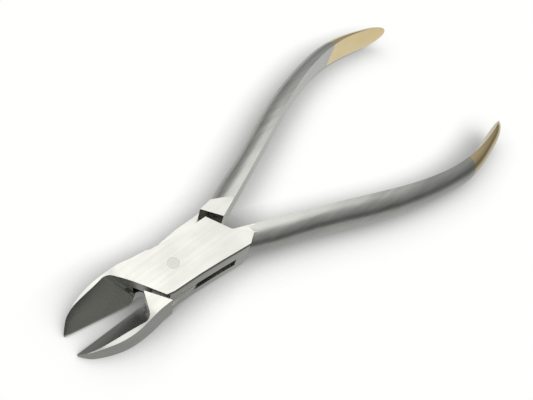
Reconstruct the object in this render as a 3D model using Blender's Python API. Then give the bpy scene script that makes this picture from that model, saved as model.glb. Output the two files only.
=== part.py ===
"""Hard wire side cutter for dental work, with a box joint.

The tool lies on its back with the jaws towards -X and the handles towards +X. The rivet's axis
is the Z axis, and z = 0 is the back face of the joint. Each lever is drawn where it stands in
the rest pose, with the jaws part open. Outlines are in millimetres and are scaled once, by plan().
"""

import math

import bmesh
import bpy
import numpy as np
from mathutils import Matrix, Vector

MM = 0.001

# Whole tool
jaw_length = 27.2 * MM
handle_reach = 122.0 * MM
handle_spread = 28.35 * MM
box_reach = 17.4 * MM
opening_angle = math.radians(11.2)

# Box joint
joint_thickness = 9.5 * MM
back_plate = 2.5 * MM
tongue_thickness = 2.9 * MM
slide_gap = 0.06 * MM
rivet_radius = 1.45 * MM
rivet_fit = 0.02 * MM
turning_gap = 0.05 * MM
wall_lean = 1.1 * MM
edge_chamfer = 0.3 * MM

# Jaws
jaw_proud = 1.5 * MM
jaw_width = 6.45 * MM
cut_line_shift = 0.73 * MM
edge_gap = 0.03 * MM
land_height = 0.8 * MM
bevel_reach = 7.2 * MM
bevel_difference = 0.5 * MM
bevel_hollow = 0.2 * MM
valley_radius = 1.5 * MM
step_at = 10.9 * MM
step_radius = 2.9 * MM
notch_radius = 1.55 * MM

# Cutting inserts, brazed into the jaws
insert_depth = 1.5 * MM
insert_height = 2.4 * MM
insert_tip_wall = 1.2 * MM
braze_gap = 0.01 * MM

# Handles
handle_height = 9.56 * MM
grip_height = 10.4 * MM
handle_difference = 1.3 * MM
belly_drop = 0.7 * MM
tip_drop = 1.1 * MM
inner_crown = 0.7 * MM
milled_length = 23.5 * MM
mill_run_out = 4.0 * MM
mill_rise = 0.2 * MM
dip_line = 93.9 * MM
end_round = 10.8 * MM
section_fullness = 0.85

ROUND_STEPS = 64
SECTION_STEPS = 16
OUTSIDE = 30 * MM
spare = 3 * MM

slot_low = back_plate
slot_high = back_plate + tongue_thickness + 2 * slide_gap
jaw_back = -jaw_proud
jaw_height = joint_thickness + jaw_proud


def clear_scene():
    for obj in list(bpy.data.objects):
        bpy.data.objects.remove(obj, do_unlink=True)


def make_collection(name, helper=False):
    group = bpy.data.collections.new(name)
    bpy.context.scene.collection.children.link(group)
    group.hide_render = helper
    return group


def make_material(name, colour, roughness, metallic=1.0):
    material = bpy.data.materials.new(name)
    material.use_nodes = True
    shader = material.node_tree.nodes["Principled BSDF"]
    shader.inputs["Base Color"].default_value = (*colour, 1.0)
    shader.inputs["Roughness"].default_value = roughness
    shader.inputs["Metallic"].default_value = metallic
    return material


def plan(points):
    """Points of the joint's outlines, drawn for a box that ends 17.4 mm from the rivet."""
    unit = box_reach / 17.4
    return [(x * unit, y * unit) for x, y in points]


def smooth(stations, values, at):
    """A natural cubic through the stations, read at each place in at."""
    x = np.array(stations, float)
    y = np.array(values, float)
    gap = np.diff(x)
    slope = np.diff(y) / gap
    count = len(x)
    matrix = np.eye(count)
    target = np.zeros(count)
    for i in range(1, count - 1):
        matrix[i, i - 1 : i + 2] = gap[i - 1], 2 * (gap[i - 1] + gap[i]), gap[i]
        target[i] = 6 * (slope[i] - slope[i - 1])
    bend = np.linalg.solve(matrix, target)
    at = np.clip(np.asarray(at, float), x[0], x[-1])
    i = np.clip(np.searchsorted(x, at) - 1, 0, count - 2)
    low, high = x[i + 1] - at, at - x[i]
    return (
        (bend[i] * low**3 + bend[i + 1] * high**3) / (6 * gap[i])
        + (y[i] / gap[i] - bend[i] * gap[i] / 6) * low
        + (y[i + 1] / gap[i] - bend[i + 1] * gap[i] / 6) * high
    )


def arc_points(start, end, sag, count):
    """Points from start to end on an arc that stands sag to the right of the straight line."""
    start, end = np.array(start), np.array(end)
    chord = end - start
    length = np.linalg.norm(chord)
    right = np.array([chord[1], -chord[0]]) / length
    radius = (length**2 / 4 + sag**2) / (2 * sag)
    half = math.asin(length / 2 / radius)
    centre = (start + end) / 2 - right * (radius - sag)
    points = []
    for turn in np.linspace(-half, half, count):
        along = chord / length * math.sin(turn) + right * math.cos(turn)
        points.append(tuple(centre + radius * along))
    return points


def new_object(name, shape, group, materials=()):
    mesh = bpy.data.meshes.new(name)
    bmesh.ops.recalc_face_normals(shape, faces=shape.faces)
    shape.to_mesh(mesh)
    shape.free()
    obj = bpy.data.objects.new(name, mesh)
    group.objects.link(obj)
    for material in materials:
        mesh.materials.append(material)
    if group.hide_render:
        obj.hide_render = True
        obj.display_type = "WIRE"
    return obj


def prism_mesh(outline, low, high):
    """A closed outline in X and Y, extruded from z = low to z = high."""
    shape = bmesh.new()
    face = shape.faces.new([shape.verts.new((x, y, low)) for x, y in outline])
    grown = bmesh.ops.extrude_face_region(shape, geom=[face])["geom"]
    moved = [part for part in grown if isinstance(part, bmesh.types.BMVert)]
    bmesh.ops.translate(shape, verts=moved, vec=(0, 0, high - low))
    return shape


def loft_mesh(rings):
    """A closed skin over rings that all have the same number of points."""
    shape = bmesh.new()
    loops = [[shape.verts.new(point) for point in ring] for ring in rings]
    count = len(loops[0])
    for one, two in zip(loops, loops[1:]):
        for i in range(count):
            j = (i + 1) % count
            shape.faces.new((one[i], one[j], two[j], two[i]))
    shape.faces.new(loops[0])
    shape.faces.new(list(reversed(loops[-1])))
    return shape


def boolean(target, other, operation):
    modifier = target.modifiers.new(f"{operation.lower()} {other.name}", "BOOLEAN")
    modifier.operation = operation
    modifier.solver = "EXACT"
    modifier.object = other


class Side:
    """One lever's jaw frame: along its cutting edge, out from the edge, and up."""

    def __init__(self, name, turn, hand):
        self.name = name
        self.hand = hand
        along = Vector((-math.cos(turn), hand * math.sin(turn), 0))
        out = Vector((math.sin(turn), hand * math.cos(turn), 0))
        start = out * (edge_gap - hand * cut_line_shift)
        self.matrix = Matrix.Translation(start) @ Matrix(
            ((along.x, out.x, 0, 0), (along.y, out.y, 0, 0), (0, 0, 1, 0), (0, 0, 0, 1))
        )

    def place(self, shape):
        """Moves a shape from the jaw frame into the tool's frame."""
        bmesh.ops.transform(shape, matrix=self.matrix, verts=shape.verts)
        return shape


BOX = Side("box", opening_angle, 1)
TONGUE = Side("tongue", 0.0, -1)


def jaw_outline(root):
    """The jaw in its frame: straight cutting edge, curved back, cut off square at root."""
    stations = [0.33, 0.48, 0.625, 0.772, 0.882, 0.956, 1.0]
    widths = [0.965, 1.0, 0.965, 0.785, 0.55, 0.3, 0.03]
    along = np.linspace(stations[0], stations[-1], 28)
    out = smooth(stations, widths, along) * jaw_width
    points = list(zip((along * jaw_length).tolist(), out.tolist()))
    return [(jaw_length, 0.0), (root, 0.0), (root, 0.96 * jaw_width), *points]


def swept_across(profile, low, high):
    """A profile of (along, height) points, extruded out from the edge in the jaw frame."""
    shape = prism_mesh(profile, low, high)
    # The prism's own X, Y and Z become along, up and out.
    turn = Matrix(((1, 0, 0, 0), (0, 0, 1, 0), (0, 1, 0, 0), (0, 0, 0, 1)))
    bmesh.ops.transform(shape, matrix=turn, verts=shape.verts)
    return shape


def front_cutter(side, group):
    """Takes the lever down to its front face, which slopes away towards the jaw's tip."""
    stations = [0.33, 0.40, 0.46, 0.515, 0.70, 0.79, 0.85, 0.90, 0.955, 1.0, 1.05]
    drops = [0.0, 0.025, 0.10, 0.19, 0.41, 0.50, 0.572, 0.66, 0.80, 0.96, 1.14]
    along = np.linspace(stations[0], stations[-1], 26)
    heights = (1 - smooth(stations, drops, along)) * joint_thickness
    slope = zip((along * jaw_length).tolist(), heights.tolist())
    top = joint_thickness + OUTSIDE
    end = stations[-1] * jaw_length
    run_out = (-milled_length - mill_run_out, joint_thickness + mill_rise)
    flat = [run_out, (-milled_length, joint_thickness)]
    profile = [*flat, *slope, (end, top), (run_out[0], top)]
    shape = swept_across(profile, -OUTSIDE, OUTSIDE)
    return new_object(f"{side.name}_front", side.place(shape), group)


def back_cutter(side, group):
    """The back face: flat over the joint, then a hollow fillet out to the proud jaw."""
    curve = []
    for turn in np.linspace(0, math.pi / 2, 9):
        along = step_at - step_radius * math.sin(turn)
        curve.append((along, -jaw_proud * math.cos(turn) ** 1.3))
    end = jaw_length + OUTSIDE
    run_out = -milled_length - mill_run_out
    jaw_face = [(run_out, -OUTSIDE), (end, -OUTSIDE), (end, -jaw_proud)]
    flat = [(-milled_length, 0.0), (run_out, -mill_rise)]
    shape = swept_across([*jaw_face, *curve, *flat], -OUTSIDE, OUTSIDE)
    return new_object(f"{side.name}_back", side.place(shape), group)


def hollow_section(side):
    """The ground bevel seen along the edge: a short upright land, then a shallow hollow."""
    land_top = (0.0, jaw_back + land_height)
    rim = (bevel_reach + side.hand * bevel_difference / 2, joint_thickness)
    curve = arc_points(land_top, rim, bevel_hollow, 9)
    slope = np.array(rim) - np.array(curve[-2])
    over = np.array(rim) + slope / slope[1] * 4 * MM
    top = float(over[1])
    low = jaw_back - OUTSIDE
    return [(0.0, low), *curve, tuple(over.tolist()), (-OUTSIDE, top), (-OUTSIDE, low)]


def jaw_hollow(side, wall_start, wall_run, group):
    """Cuts the bevel as far as the leaning wall of the joint, with a fillet in the valley."""
    shape = bmesh.new()
    loop = [shape.verts.new((0.0, out, up)) for out, up in hollow_section(side)]
    grown = bmesh.ops.extrude_face_region(shape, geom=[shape.faces.new(loop)])["geom"]
    moved = [part for part in grown if isinstance(part, bmesh.types.BMVert)]
    bmesh.ops.translate(shape, verts=moved, vec=(jaw_length + OUTSIDE, 0, 0))
    lean = wall_lean / jaw_height
    normal = Vector((1.0, -wall_run, -lean)).normalized()
    point = Vector((wall_start, 0.0, joint_thickness))
    every = [*shape.verts, *shape.edges, *shape.faces]
    cut = bmesh.ops.bisect_plane(
        shape, geom=every, plane_co=point, plane_no=normal, clear_inner=True
    )["geom_cut"]
    rim = [part for part in cut if isinstance(part, bmesh.types.BMEdge)]
    bmesh.ops.holes_fill(shape, edges=rim)
    valley = []
    for edge in shape.edges:
        middle = (edge.verts[0].co + edge.verts[1].co) / 2
        on_wall = all(abs((vert.co - point).dot(normal)) < 1e-7 for vert in edge.verts)
        if on_wall and 0.0 < middle.y <= bevel_reach + 2 * MM and middle.z > jaw_back:
            if middle.z < joint_thickness + 3 * MM:
                valley.append(edge)
    bmesh.ops.bevel(
        shape, geom=valley, offset=valley_radius, segments=4, affect="EDGES",
        profile=0.5, material=-1, clamp_overlap=True,
    )
    return new_object(f"{side.name}_hollow", side.place(shape), group)


def notch(side, group):
    """The round relief at the root of the cutting edges, from the back up to the slot."""
    shape = bmesh.new()
    depth = jaw_proud + OUTSIDE + (slot_low + slot_high) / 2
    bmesh.ops.create_cone(
        shape, cap_ends=True, segments=32, radius1=notch_radius, radius2=notch_radius,
        depth=depth,
    )
    middle = (slot_low + slot_high - depth) / 2
    bmesh.ops.translate(shape, verts=shape.verts, vec=(*plan([(-9.2, 0.25)])[0], middle))
    return new_object(f"{side.name}_notch", shape, group)


def insert_pocket(side, group):
    """The space that is cut out of the jaw for its brazed insert."""
    low, high = step_at - braze_gap, jaw_length - insert_tip_wall + braze_gap
    deep = insert_depth + braze_gap
    corners = [(low, -OUTSIDE), (high, -OUTSIDE), (high, deep), (low, deep)]
    top = jaw_back + insert_height + braze_gap
    shape = side.place(prism_mesh(corners, jaw_back - OUTSIDE, top))
    return new_object(f"{side.name}_insert_pocket", shape, group)


def eased(x, start, end):
    """0 up to one share of the reach and 1 from another, with an eased rise between."""
    share = min(max((x / handle_reach - start) / (end - start), 0.0), 1.0)
    return share * share * (3 - 2 * share)


def end_rounding(x):
    past = max(0.0, (x - (handle_reach - end_round)) / end_round)
    return math.sqrt(max(0.0, 1 - past**2))


def handle_heights(x):
    """Height of the section. The lever's flats are milled over its first stretch."""
    stations = [0.10, 0.20, 0.45, 0.70, 0.86]
    heights = [handle_height, handle_height, 0.99 * grip_height, 0.94 * grip_height]
    place = min(x / handle_reach, stations[-1])
    return float(smooth(stations, [*heights, grip_height], place)) * end_rounding(x)


def handle_line(x):
    """How far the flat inner side stands from the middle of the tool."""
    stations = [12, 18, 24, 35, 50, 65, 80, 92, 102, 112, 122]
    shares = [-0.095, 0.0, 0.09, 0.259, 0.493, 0.73, 0.914, 0.994, 1.0, 0.962, 0.896]
    scale = handle_reach / stations[-1] / MM
    root = plan([(18.0, 2.1)])[0][1]
    share = float(smooth([place * scale for place in stations], shares, x / MM))
    return root + (handle_spread - root) * share


def handle_width(x, extra):
    """Thickness in plan. One lever's grip is a little fuller than the other's."""
    stations = [12, 18, 24, 35, 50, 65, 80, 95, 108, 118, 122]
    values = [7.3, 5.95, 6.1, 5.8, 6.1, 5.6, 4.77, 4.4, 3.16, 2.15, 1.2]
    scale = handle_reach / stations[-1] / MM
    width = float(smooth([place * scale for place in stations], values, x / MM)) * MM
    share = eased(x, 0.68, 0.95) * width / (4 * MM)
    return max(width + extra * share, 0.3 * MM)


def handle_stations():
    arm = 0.205 * handle_reach
    root = np.linspace(0.0977 * handle_reach, arm, 7)[:-1]
    middle = np.linspace(arm, dip_line, 18)[:-1]
    grip = np.linspace(dip_line, handle_reach - end_round, 6)[:-1]
    turns = np.linspace(0, math.radians(88), 9)
    end = handle_reach - end_round + end_round * np.sin(turns)
    return np.concatenate([root, middle, grip, end])


def handle_ring(x, hand, extra):
    """A D-shaped section: nearly flat on the inner side, full and round on the outer side."""
    drop = tip_drop / 2 * eased(x, 0.80, 0.95)
    half = max(handle_heights(x) / 2 - drop * end_rounding(x), 0.15 * MM)
    middle = joint_thickness / 2 - drop
    inner = handle_line(x)
    width = handle_width(x, extra)
    belly = belly_drop * eased(x, 0.45, 0.75)
    ring = []
    for turn in np.linspace(-math.pi / 2, math.pi / 2, SECTION_STEPS + 1):
        full = abs(math.cos(turn)) ** section_fullness
        up = half * math.copysign(abs(math.sin(turn)) ** section_fullness, turn)
        ring.append((x, hand * (inner + width * full), middle + up - belly * full))
    crown = inner_crown * eased(x, 0.78, 0.92) * end_rounding(x)
    for share in (0.5, 0.0, -0.5):
        ring.append((x, hand * (inner - crown * (1 - share**2)), middle + half * share))
    return ring


def handle(side, hand, extra, helpers, materials):
    """The handle as a loft. The end past the dip line is gold plated."""
    rings = [handle_ring(x, hand, extra) for x in handle_stations()]
    shape = loft_mesh(rings)
    for face in shape.faces:
        face.material_index = int(face.calc_center_median().x > dip_line)
    return new_object(f"{side.name}_handle", shape, helpers, materials)


def bore(side, gap, helpers):
    shape = bmesh.new()
    radius = (rivet_radius + gap) / math.cos(math.pi / ROUND_STEPS)
    bmesh.ops.create_cone(
        shape, cap_ends=True, segments=ROUND_STEPS, radius1=radius, radius2=radius,
        depth=4 * joint_thickness,
    )
    return new_object(f"{side.name}_bore", shape, helpers)


def jaw(side, root, helpers):
    """The jaw's blank, left too tall for the front and back cutters to trim."""
    blank = prism_mesh(jaw_outline(root), jaw_back - spare, joint_thickness + spare)
    return new_object(f"{side.name}_jaw", side.place(blank), helpers)


def grind(lever, side, wall_start, wall_run, helpers):
    """Cuts the lever's front, back and bevel. Returns what also shapes its insert."""
    hollow = jaw_hollow(side, wall_start, wall_run, helpers)
    front = front_cutter(side, helpers)
    for cutter in (hollow, front, back_cutter(side, helpers), notch(side, helpers)):
        boolean(lever, cutter, "DIFFERENCE")
    return hollow, front


def insert(side, lever, cutters, helpers, group, carbide):
    """Cuts the pocket in the lever and makes the insert that fills it."""
    low, high = step_at, jaw_length - insert_tip_wall
    corners = [(low, 0.0), (high, 0.0), (high, insert_depth), (low, insert_depth)]
    shape = side.place(prism_mesh(corners, jaw_back, jaw_back + insert_height))
    strip = new_object(f"{side.name}_jaw_insert", shape, group, [carbide])
    for cutter in cutters:
        boolean(strip, cutter, "DIFFERENCE")
    boolean(lever, insert_pocket(side, helpers), "DIFFERENCE")
    return strip


def chamfered_edge(name, path, helpers):
    """Breaks the front edge of a wall that passes through a path of points."""
    size, reach = edge_chamfer, 3 * MM
    steps = [(-1.25 * size - reach, reach), (-0.25 * size, -size)]
    steps += [(0.4 * reach, -size - reach), (2 * reach, reach)]
    rings = []
    for i, point in enumerate(path):
        before, after = path[max(i - 1, 0)], path[min(i + 1, len(path) - 1)]
        along = Vector((after[0] - before[0], after[1] - before[1])).normalized()
        rings.append(
            [
                (point[0] + along.y * side, point[1] - along.x * side, joint_thickness + up)
                for side, up in steps
            ]
        )
    return new_object(name, loft_mesh(rings), helpers)


def box_lever(group, helpers, materials):
    """Upper jaw, both plates of the box, and the lower handle, forged in one."""
    corner = [(-8.6, -0.7), (-7.2, -3.6), (-6.5, -4.9), (-5.6, -5.65)]
    lower = [(-4.4, -5.93), (3.0, -6.38), (10.0, -7.08), (14.5, -7.63), (17.9, -8.0)]
    crotch = [(21.4, -5.8), (21.4, -4.0), (18.4, -2.5), (17.4, -1.65)]
    upper = [(14.55, 4.9), (7.9, 5.0), (-2.0, 6.1), (-2.9, 6.5), (-7.8, 7.1), (-12.0, 4.0)]
    outline = plan([*corner, *lower, *crotch, *upper, (-12.0, 0.5)])
    block = prism_mesh(outline, -spare, joint_thickness + spare)
    lever = new_object("box_lever", block, group, materials)
    boolean(lever, jaw(BOX, box_reach * 0.37, helpers), "UNION")
    boolean(lever, handle(BOX, -1, handle_difference / 2, helpers, materials), "UNION")
    grinding = grind(lever, BOX, 9.56 / 17.4 * box_reach, 0.8, helpers)
    path = plan([(-6.6, -5.4), *lower, (19.5, -8.15)])
    boolean(lever, chamfered_edge("box_edge", path, helpers), "DIFFERENCE")
    slot = plan(
        [(-13.0, 0.35), (-13.0, -10.0), (13.6, -10.0), (14.5, -7.45), (18.0, -2.6)]
        + [(20.0, -1.2), (20.0, 9.5), (-2.0, 9.5), (-2.4, 6.5)]
    )
    cutter = new_object("box_slot", prism_mesh(slot, slot_low, slot_high), helpers)
    boolean(lever, cutter, "DIFFERENCE")
    boolean(lever, bore(BOX, rivet_fit, helpers), "DIFFERENCE")
    return lever, grinding


def shoulder(name, top_a, top_b, lean, helpers):
    """A wedge that cuts a lever back to a leaning wall through two points of its front edge."""
    a, b = (Vector((*point, 0)) for point in plan([top_a, top_b]))
    along = (b - a).normalized()
    inward = Vector((-along.y, along.x, 0))
    shape = bmesh.new()
    bmesh.ops.create_cube(shape, size=2 * OUTSIDE)
    bmesh.ops.translate(shape, verts=shape.verts, vec=(0, OUTSIDE, 0))
    for vert in shape.verts:
        if vert.co.y < OUTSIDE / 2:
            vert.co.y += (joint_thickness - vert.co.z) * lean / jaw_height
    turn = Matrix.Identity(4)
    for row in range(3):
        turn[row][0], turn[row][1], turn[row][2] = along[row], inward[row], float(row == 2)
        turn[row][3] = ((a + b) / 2)[row]
    bmesh.ops.transform(shape, matrix=turn, verts=shape.verts)
    return new_object(name, shape, helpers)


def tongue_outline():
    """The part that passes through the box, with a round heel about the rivet."""
    heel = 6.6
    lower = [(-11.4, -6.6), (-6.2, -6.9), (-1.5, -6.6), (2.5, -6.15), (8.0, -4.0)]
    neck = [(13.5, -0.7), (18.4, 2.3), (21.0, 5.0), (19.0, 8.4), (14.9, 8.1), (8.0, 8.05)]
    turns = np.radians(np.linspace(92, 175, 9))
    round_heel = [(heel * math.cos(turn), heel * math.sin(turn)) for turn in turns]
    return plan([*lower, *neck, (2.7, 7.5), *round_heel, (-7.2, -1.0), (-8.3, -1.9)])


def tongue_lever(group, helpers, materials):
    """Lower jaw, the tongue through the box, both shoulders, and the upper handle."""
    low, high = slot_low + slide_gap, slot_high - slide_gap
    tongue = prism_mesh(tongue_outline(), low, high)
    lever = new_object("tongue_lever", tongue, group, materials)
    lower_jaw = jaw(TONGUE, box_reach * 0.2, helpers)
    stop = shoulder("jaw_shoulder", (-9.48, -1.37), (-6.37, -6.56), wall_lean, helpers)
    boolean(lower_jaw, stop, "DIFFERENCE")
    boolean(lever, lower_jaw, "UNION")
    grip = handle(TONGUE, 1, -handle_difference / 2, helpers, materials)
    root = plan([(15.5, 2.0), (18.6, 2.6), (24.5, 5.0), (21.9, 6.55), (18.9, 7.95), (14.0, 7.2)])
    block = prism_mesh(root, -spare, joint_thickness + spare)
    boolean(grip, new_object("tongue_root", block, helpers, materials), "UNION")
    stop = shoulder("handle_shoulder", (18.35, 2.26), (14.93, 7.39), 0.0, helpers)
    boolean(grip, stop, "DIFFERENCE")
    boolean(lever, grip, "UNION")
    grinding = grind(lever, TONGUE, 9.45 / 17.4 * box_reach, 0.453, helpers)
    boolean(lever, bore(TONGUE, turning_gap, helpers), "DIFFERENCE")
    return lever, grinding


def pivot_rivet(group, steel):
    """The round pin, riveted flush with both faces of the box."""
    shape = bmesh.new()
    bmesh.ops.create_cone(
        shape, cap_ends=True, segments=ROUND_STEPS, radius1=rivet_radius,
        radius2=rivet_radius, depth=joint_thickness,
    )
    bmesh.ops.translate(shape, verts=shape.verts, vec=(0, 0, joint_thickness / 2))
    return new_object("pivot_rivet", shape, group, [steel])


def main():
    clear_scene()
    cutter = make_collection("Wire cutter")
    helpers = make_collection("Cutters", helper=True)
    satin = make_material("satin steel", (0.62, 0.62, 0.59), 0.34)
    pin_steel = make_material("rivet steel", (0.56, 0.56, 0.53), 0.38)
    carbide = make_material("carbide", (0.50, 0.50, 0.48), 0.36)
    gold = make_material("gold plating", (0.83, 0.66, 0.36), 0.16)
    for side, lever in ((BOX, box_lever), (TONGUE, tongue_lever)):
        made, grinding = lever(cutter, helpers, [satin, gold])
        insert(side, made, grinding, helpers, cutter, carbide)
    pivot_rivet(cutter, pin_steel)


main()
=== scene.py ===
"""The looks of the dental wire cutter.

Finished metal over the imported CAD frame, and the floor, light and camera around it.
"""

import math

import bmesh
import bpy
from mathutils import Matrix, Vector


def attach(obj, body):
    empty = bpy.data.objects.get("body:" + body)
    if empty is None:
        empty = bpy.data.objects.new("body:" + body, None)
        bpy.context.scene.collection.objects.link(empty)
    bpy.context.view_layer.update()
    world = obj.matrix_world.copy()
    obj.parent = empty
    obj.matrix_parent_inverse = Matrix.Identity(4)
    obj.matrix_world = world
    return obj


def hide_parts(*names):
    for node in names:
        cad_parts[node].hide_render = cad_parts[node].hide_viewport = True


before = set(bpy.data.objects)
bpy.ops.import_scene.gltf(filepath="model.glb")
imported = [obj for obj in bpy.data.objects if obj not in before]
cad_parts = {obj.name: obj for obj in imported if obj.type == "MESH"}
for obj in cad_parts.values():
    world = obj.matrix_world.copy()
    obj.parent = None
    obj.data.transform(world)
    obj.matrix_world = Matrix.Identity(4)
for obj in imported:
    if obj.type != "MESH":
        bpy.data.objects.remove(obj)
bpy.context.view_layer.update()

MM = 0.001

# Grain of the metals. Scales are per metre, along each axis of the tool.
CLOUD_SCALE = (90, 160, 160)
CLOUD_DETAIL = 2.0
STREAK_DETAIL = 3.0
CLOUD_SHARE = 0.5
TONE_RANGE = (0.40, 0.60)
ROUGH_RANGE = (0.3, 0.7)
ROUGH_WANDER = 0.04

# Cleaning, chamfers and shading of the meshes.
WELD = 0.004 * MM
FLAT_ANGLE = math.radians(0.3)
CHAMFER = 0.1 * MM
CHAMFER_ANGLE = math.radians(50)
CHAMFER_LEAST_LENGTH = 0.6 * MM
SMOOTH_ANGLE = math.radians(24)

# Where a milled root meets its handle, these corners (in mm) are eased to the level beside them.
EASED_CORNERS = [
    ((21.4, -4.93, 9.42), 9.50),
    ((21.4, -5.8, 9.50), 9.40),
    ((21.14, -5.97, 9.21), 9.30),
    ((24.5, 5.0, 9.53), 9.53),
]
EASED_RADIUS = 0.13 * MM
ROOT_X = (20.6 * MM, 23.4 * MM)
ROOT_LEVEL = 8.8 * MM
ROOT_RISE = 0.5

# Places on the tool where a finish or a painted light or shade starts or ends, and the slopes that
# tell its faces apart.
DIP_LINE = 93.9 * MM
SLOT_X = (-11 * MM, 16 * MM)
SLOT_Y = 5.2 * MM
SLOT_Z = (2.6 * MM, 5.6 * MM)
SLOT_WALL_RISE = 0.5
SHOULDER_X = (12 * MM, 26 * MM)
SHOULDER_LEAN = -0.6
JAW_LINE = -8 * MM
BEVEL_RISE = 0.15
BEVEL_LEAN = 0.6
JAW_TOP_RISE = 0.7
NOSE_LINE = -5 * MM
NOSE_TOP_RISE = 0.93
PLATE_END = 24.6 * MM
PLATE_RISE = 0.9995
BOX_END = 21.5 * MM
BOX_RISE = 0.97

# Floor. The shadow's levels run over the share of open sky that a point sees within its reach.
FLOOR_Z = -1.6 * MM
FLOOR_SIZE = 4.0
FLOOR_COLOUR = (0.86, 0.86, 0.86, 1)
SHADOW_REACH = 11.5 * MM
SHADOW_SAMPLES = 16
SHADOW_LEAN = (-0.30, -0.22, 0.92)
SHADOW_LEVELS = [
    (0.0, 0.10), (0.4, 0.24), (0.55, 0.40), (0.7, 0.60),
    (0.8, 0.78), (0.9, 0.92), (0.97, 0.985), (1.0, 1.0),
]

# How bright the metal sees the floor, along y and along x. The floor's grey is a painted glow with
# painted shade in it.
FLOOR_Y = (-120 * MM, 120 * MM)
FLOOR_Y_LEVELS = [
    (0.0, 0.20), (0.125, 0.21), (0.19, 0.23), (0.25, 0.31), (0.31, 0.45), (0.375, 0.54),
    (0.5, 0.62), (0.625, 0.68), (0.75, 0.57), (1.0, 0.52),
]
FLOOR_X = (-30 * MM, 120 * MM)
FLOOR_X_LEVELS = [(0.0, 0.60), (0.2, 0.62), (0.3, 0.75), (0.5, 0.90), (0.7, 0.98), (1.0, 1.0)]

# Light. Each area has a centre, and levels over the cosine of the angle from it.
LIGHT_STRENGTH = 1.5
LIGHT_WARMTH = 0.99
LIGHT_AREAS = [
    ((0.16, 0.25, 0.955), [
        (0.0, 0.09), (0.12, 0.10), (0.24, 0.15), (0.4, 0.19), (0.55, 0.22), (0.68, 0.26),
        (0.76, 0.27), (0.82, 0.34), (0.87, 0.46), (0.90, 0.72), (0.92, 0.96), (1.0, 1.0),
    ]),
    ((-0.38, 0.50, 0.78), [(0.0, 0.0), (0.90, 0.10), (0.94, 0.55), (0.97, 0.95), (1.0, 1.0)]),
    ((-0.93, 0.20, 0.30), [(0.0, 0.0), (0.4, 0.05), (0.65, 0.36), (0.85, 0.50), (1.0, 0.55)]),
]

# Camera, fitted to points measured on the photograph, in its pixels and in mm.
IMAGE_WIDTH = 533.0
FOCAL_PIXELS = 589.0
SENSOR_WIDTH = 36.0
CAMERA_PLACE = (-51.17, -40.71, 132.97)
CAMERA_RIGHT = (0.68215, -0.69432, 0.22934)
CAMERA_DOWN = (-0.49959, -0.67157, -0.54718)
CAMERA_AHEAD = (0.53393, 0.25868, -0.80499)


# Nodes


def node_material(name):
    material = bpy.data.materials.new(name)
    material.use_nodes = True
    tree = material.node_tree
    return material, tree, tree.nodes["Principled BSDF"]


def add(tree, kind, **values):
    """A new node, with its inputs and settings given by name."""
    node = tree.nodes.new(kind)
    for key, value in values.items():
        if key in node.inputs:
            node.inputs[key].default_value = value
        else:
            setattr(node, key, value)
    return node


def stretched_noise(tree, scale, detail):
    """Noise in Object coordinates, with its own scale along each axis."""
    place = tree.nodes.new("ShaderNodeTexCoord")
    mapping = add(tree, "ShaderNodeMapping", Scale=scale)
    noise = add(tree, "ShaderNodeTexNoise", Scale=1.0, Detail=detail)
    tree.links.new(place.outputs["Object"], mapping.inputs["Vector"])
    tree.links.new(mapping.outputs["Vector"], noise.inputs["Vector"])
    return noise.outputs["Fac"]


def ranged(tree, value, limits, low=0.0, high=1.0):
    """The value, carried from its limits to the range from low to high."""
    node = tree.nodes.new("ShaderNodeMapRange")
    node.inputs["From Min"].default_value = limits[0]
    node.inputs["From Max"].default_value = limits[1]
    node.inputs["To Min"].default_value = low
    node.inputs["To Max"].default_value = high
    tree.links.new(value, node.inputs["Value"])
    return node.outputs["Result"]


def mixed_colour(tree, value, low, high):
    node = tree.nodes.new("ShaderNodeMix")
    node.data_type = "RGBA"
    node.inputs["A"].default_value = (*low, 1)
    node.inputs["B"].default_value = (*high, 1)
    tree.links.new(value, node.inputs["Factor"])
    return node.outputs["Result"]


def blended(tree, kind, first, second):
    node = tree.nodes.new("ShaderNodeMix")
    node.data_type = "RGBA"
    node.blend_type = kind
    node.inputs["Factor"].default_value = 1.0
    tree.links.new(first, node.inputs["A"])
    tree.links.new(second, node.inputs["B"])
    return node.outputs["Result"]


def mixed_shader(tree, factor, first, second):
    node = tree.nodes.new("ShaderNodeMixShader")
    tree.links.new(factor, node.inputs["Fac"])
    tree.links.new(first, node.inputs[1])
    tree.links.new(second, node.inputs[2])
    return node.outputs["Shader"]


def level_ramp(tree, value, levels):
    """Grey levels over the value, a touch warm."""
    ramp = tree.nodes.new("ShaderNodeValToRGB")
    ramp.color_ramp.elements[0].position = levels[0][0]
    ramp.color_ramp.elements[1].position = levels[-1][0]
    for position, _ in levels[1:-1]:
        ramp.color_ramp.elements.new(position)
    for element, (_, level) in zip(ramp.color_ramp.elements, levels):
        element.color = (level, level, level * LIGHT_WARMTH, 1)
    tree.links.new(value, ramp.inputs["Fac"])
    return ramp.outputs["Color"]


# Materials


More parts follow.
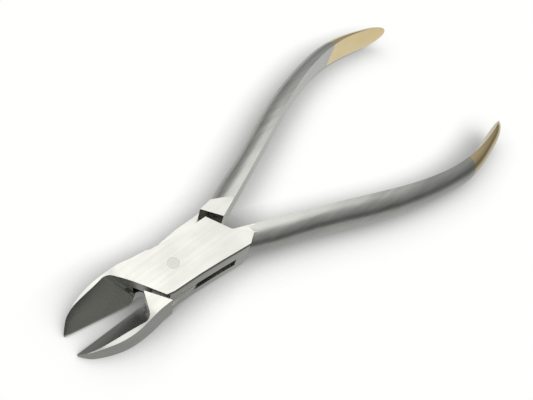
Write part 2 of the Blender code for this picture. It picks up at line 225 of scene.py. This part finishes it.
def metal(name, dark, light, rough, grain):
    """Satin metal: a cloudy tone, streaks of the brushing, and a roughness that follows them."""
    material, tree, shader = node_material(name)
    shader.inputs["Metallic"].default_value = 1.0
    cloud = stretched_noise(tree, CLOUD_SCALE, CLOUD_DETAIL)
    streak = stretched_noise(tree, grain, STREAK_DETAIL)
    streak_part = add(tree, "ShaderNodeMath", operation="MULTIPLY")
    streak_part.inputs[1].default_value = 1 - CLOUD_SHARE
    tree.links.new(streak, streak_part.inputs[0])
    tone = add(tree, "ShaderNodeMath", operation="MULTIPLY_ADD")
    tone.inputs[1].default_value = CLOUD_SHARE
    tree.links.new(cloud, tone.inputs[0])
    tree.links.new(streak_part.outputs["Value"], tone.inputs[2])
    tone_share = ranged(tree, tone.outputs["Value"], TONE_RANGE)
    roughness = ranged(tree, streak, ROUGH_RANGE, rough - ROUGH_WANDER, rough + ROUGH_WANDER)
    tree.links.new(mixed_colour(tree, tone_share, dark, light), shader.inputs["Base Color"])
    tree.links.new(roughness, shader.inputs["Roughness"])
    return material


# Name, darkest and lightest tone, roughness, scale of the streaks
SATIN = metal("satin_steel", (0.53, 0.53, 0.505), (0.61, 0.61, 0.585), 0.27, (30, 900, 900))
# Lighter steel for the faces that look up: a brushed finish, made lighter still as painted light.
LIT_PLATE = metal("brushed_lit_plate", (0.59, 0.59, 0.55), (0.71, 0.71, 0.665), 0.24, (25, 700, 700))
# Darker steel for the jaw bevels and inserts: a ground finish, made darker still as painted shade.
SHADED_GROUND = metal("shaded_ground_bevel", (0.27, 0.27, 0.255), (0.31, 0.31, 0.295), 0.24, (1500, 90, 1500))
RIVET = metal("rivet_steel", (0.53, 0.53, 0.51), (0.57, 0.57, 0.55), 0.27, (900, 900, 900))
GOLD = metal("gold_plate", (0.92, 0.74, 0.40), (0.96, 0.78, 0.44), 0.07, (200, 900, 900))
# Painted shade: near-black steel on the sides of the slot and on the shoulder wall.
PAINTED_SHADE = metal("slot_painted_shade", (0.09, 0.09, 0.082), (0.13, 0.13, 0.12), 0.32, (900, 900, 900))
FINISHES_AND_SHADES = (SATIN, LIT_PLATE, SHADED_GROUND, RIVET, GOLD, PAINTED_SHADE)


# Pieces


def within(value, limits):
    return limits[0] < value < limits[1]


def blends(edge):
    """Whether shading runs on over an edge: where it is blunt, and at the eased root corners."""
    if not edge.is_manifold:
        return True
    if edge.calc_face_angle(0) < SMOOTH_ANGLE:
        return True
    at_root = all(within(vert.co.x, ROOT_X) and vert.co.z > ROOT_LEVEL for vert in edge.verts)
    return at_root and all(face.normal.z > ROOT_RISE for face in edge.link_faces)


def welded(shape):
    """Takes out doubled points and faces without area, which would bend the shading."""
    bmesh.ops.remove_doubles(shape, verts=shape.verts, dist=WELD)
    bmesh.ops.dissolve_degenerate(shape, dist=WELD, edges=shape.edges)


def eased(shape):
    for place, level in EASED_CORNERS:
        for vert in shape.verts:
            if (vert.co - Vector(place) * MM).length < EASED_RADIUS:
                vert.co.z = level * MM


def chamfered(shape, width):
    sharp = [
        edge for edge in shape.edges
        if edge.is_manifold
        and edge.calc_face_angle(0) > CHAMFER_ANGLE
        and edge.calc_length() > CHAMFER_LEAST_LENGTH
    ]
    bmesh.ops.bevel(
        shape, geom=sharp, offset=width, segments=1, profile=0.5, affect="EDGES",
        material=-1, clamp_overlap=True, loop_slide=True,
    )
    welded(shape)


def finished(node, body, paint, chamfer):
    """A piece with the CAD node's own shape, its edges eased and its faces given their finish, some
    of it painted light or shade.
    """
    shape = bmesh.new()
    shape.from_mesh(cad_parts[node].data)
    bmesh.ops.remove_doubles(shape, verts=shape.verts, dist=WELD)
    eased(shape)
    welded(shape)
    bmesh.ops.dissolve_limit(
        shape, angle_limit=FLAT_ANGLE, verts=shape.verts, edges=shape.edges,
        use_dissolve_boundaries=False,
    )
    if chamfer:
        chamfered(shape, chamfer)
    for edge in shape.edges:
        edge.smooth = blends(edge)
    for face in shape.faces:
        face.smooth = True
        face.material_index = FINISHES_AND_SHADES.index(paint(face) if callable(paint) else paint)
    mesh = bpy.data.meshes.new(f"{node}_finish")
    shape.to_mesh(mesh)
    shape.free()
    for material in FINISHES_AND_SHADES:
        mesh.materials.append(material)
    piece = bpy.data.objects.new(f"{node}_finish", mesh)
    normals = piece.modifiers.new("even_normals", "WEIGHTED_NORMAL")
    normals.keep_sharp = True
    bpy.context.scene.collection.objects.link(piece)
    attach(piece, body)
    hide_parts(node)


def in_slot(face, middle):
    """The sides of the tongue and of its slot, which are painted dark as shade."""
    at_slot = within(middle.x, SLOT_X) and abs(middle.y) < SLOT_Y and within(middle.z, SLOT_Z)
    return at_slot and abs(face.normal.z) < SLOT_WALL_RISE


def on_shoulder(face, middle):
    """The tongue lever's step behind the box, which is painted dark as shade."""
    return face.normal.x < SHOULDER_LEAN and within(middle.x, SHOULDER_X) and middle.y > 0


def on_jaw_bevel(face, middle):
    """The hollow-ground slope down to the cutting edge, whose darker steel is partly painted shade.
    """
    rises = face.normal.z > BEVEL_RISE and abs(face.normal.y) > BEVEL_LEAN
    return middle.x < JAW_LINE and rises


def on_flat(face, middle):
    """The flat faces of the box, of the jaws' noses and of the milled roots, whose lighter steel is
    partly painted light.
    """
    rise = abs(face.normal.z)
    end = max(vert.co.x for vert in face.verts)
    if middle.x < JAW_LINE and face.normal.z > JAW_TOP_RISE:
        return True
    if middle.x < NOSE_LINE and rise > NOSE_TOP_RISE:
        return True
    return (rise > PLATE_RISE and end < PLATE_END) or (rise > BOX_RISE and end < BOX_END)


def lever_paint(face):
    middle = face.calc_center_median()
    if middle.x > DIP_LINE:
        return GOLD
    if in_slot(face, middle) or on_shoulder(face, middle):
        return PAINTED_SHADE
    if on_jaw_bevel(face, middle):
        return SHADED_GROUND
    if on_flat(face, middle):
        return LIT_PLATE
    return SATIN


finished("box_lever", "box", lever_paint, CHAMFER)
finished("tongue_lever", "tongue", lever_paint, CHAMFER)
finished("pivot_rivet", "box", RIVET, 0)
# The inserts take the darker ground steel, partly painted shade.
finished("box_jaw_insert", "box", SHADED_GROUND, 0)
finished("tongue_jaw_insert", "tongue", SHADED_GROUND, 0)


# Floor, light and camera


def floor_shadow(tree):
    """White, and darker where the tool stands close by."""
    lean = add(tree, "ShaderNodeVectorMath", operation="NORMALIZE")
    lean.inputs[0].default_value = SHADOW_LEAN
    near = tree.nodes.new("ShaderNodeAmbientOcclusion")
    near.samples = SHADOW_SAMPLES
    near.inputs["Distance"].default_value = SHADOW_REACH
    tree.links.new(lean.outputs["Vector"], near.inputs["Normal"])
    white = tree.nodes.new("ShaderNodeEmission")
    tree.links.new(level_ramp(tree, near.outputs["AO"], SHADOW_LEVELS), white.inputs["Color"])
    return white.outputs["Emission"]


def floor_reflected(tree):
    """The painted grey glow that the metal sees, darker towards the front and under the jaws as
    painted shade.
    """
    place = tree.nodes.new("ShaderNodeTexCoord")
    apart = tree.nodes.new("ShaderNodeSeparateXYZ")
    tree.links.new(place.outputs["Object"], apart.inputs["Vector"])
    across = level_ramp(tree, ranged(tree, apart.outputs["Y"], FLOOR_Y), FLOOR_Y_LEVELS)
    along = level_ramp(tree, ranged(tree, apart.outputs["X"], FLOOR_X), FLOOR_X_LEVELS)
    grey = tree.nodes.new("ShaderNodeEmission")
    tree.links.new(blended(tree, "MULTIPLY", across, along), grey.inputs["Color"])
    return grey.outputs["Emission"]


def make_floor():
    """A plain floor: white to the camera, grey to the metal, and clear from below."""
    mesh = bpy.data.meshes.new("floor")
    shape = bmesh.new()
    bmesh.ops.create_grid(shape, x_segments=1, y_segments=1, size=FLOOR_SIZE)
    bmesh.ops.translate(shape, verts=shape.verts, vec=(0, 0, FLOOR_Z))
    shape.to_mesh(mesh)
    shape.free()
    material, tree, shader = node_material("pale_floor")
    material.cycles.emission_sampling = "NONE"
    shader.inputs["Base Color"].default_value = FLOOR_COLOUR
    shader.inputs["Roughness"].default_value = 1.0
    path = tree.nodes.new("ShaderNodeLightPath")
    side = tree.nodes.new("ShaderNodeNewGeometry")
    clear = tree.nodes.new("ShaderNodeBsdfTransparent")
    glossy, camera, back = (
        path.outputs["Is Glossy Ray"], path.outputs["Is Camera Ray"], side.outputs["Backfacing"],
    )
    look = mixed_shader(tree, glossy, shader.outputs["BSDF"], floor_reflected(tree))
    look = mixed_shader(tree, camera, look, floor_shadow(tree))
    look = mixed_shader(tree, back, look, clear.outputs["BSDF"])
    tree.links.new(look, tree.nodes["Material Output"].inputs["Surface"])
    mesh.materials.append(material)
    floor = bpy.data.objects.new("floor", mesh)
    bpy.context.scene.collection.objects.link(floor)


def make_world():
    """A soft dome: bright overhead, dim at the horizon. The camera itself sees plain white."""
    world = bpy.data.worlds.new("studio")
    world.use_nodes = True
    tree = world.node_tree
    place = tree.nodes.new("ShaderNodeTexCoord")
    levels = None
    for centre, area_levels in LIGHT_AREAS:
        lean = add(tree, "ShaderNodeVectorMath", operation="DOT_PRODUCT")
        lean.inputs[1].default_value = Vector(centre).normalized()
        tree.links.new(place.outputs["Generated"], lean.inputs[0])
        area = level_ramp(tree, lean.outputs["Value"], area_levels)
        levels = blended(tree, "LIGHTEN", levels, area) if levels else area
    dome = tree.nodes["Background"]
    dome.inputs["Strength"].default_value = LIGHT_STRENGTH
    tree.links.new(levels, dome.inputs["Color"])
    seen = tree.nodes.new("ShaderNodeBackground")
    seen.inputs["Color"].default_value = (1, 1, 1, 1)
    path = tree.nodes.new("ShaderNodeLightPath")
    look = mixed_shader(
        tree, path.outputs["Is Camera Ray"], dome.outputs["Background"], seen.outputs["Background"],
    )
    tree.links.new(look, tree.nodes["World Output"].inputs["Surface"])
    bpy.context.scene.world = world


def make_camera():
    """The photograph's own view."""
    right, down, ahead = Vector(CAMERA_RIGHT), Vector(CAMERA_DOWN), Vector(CAMERA_AHEAD)
    turn = Matrix((right, -down, -ahead)).transposed().to_4x4()
    data = bpy.data.cameras.new("camera")
    data.sensor_width = SENSOR_WIDTH
    data.lens = FOCAL_PIXELS / IMAGE_WIDTH * SENSOR_WIDTH
    data.clip_start = 0.005
    data.clip_end = 20.0
    camera = bpy.data.objects.new("camera", data)
    bpy.context.scene.collection.objects.link(camera)
    camera.matrix_world = Matrix.Translation(Vector(CAMERA_PLACE) * MM) @ turn
    bpy.context.scene.camera = camera


make_floor()
make_world()
make_camera()
bpy.context.scene.view_settings.view_transform = "Standard"
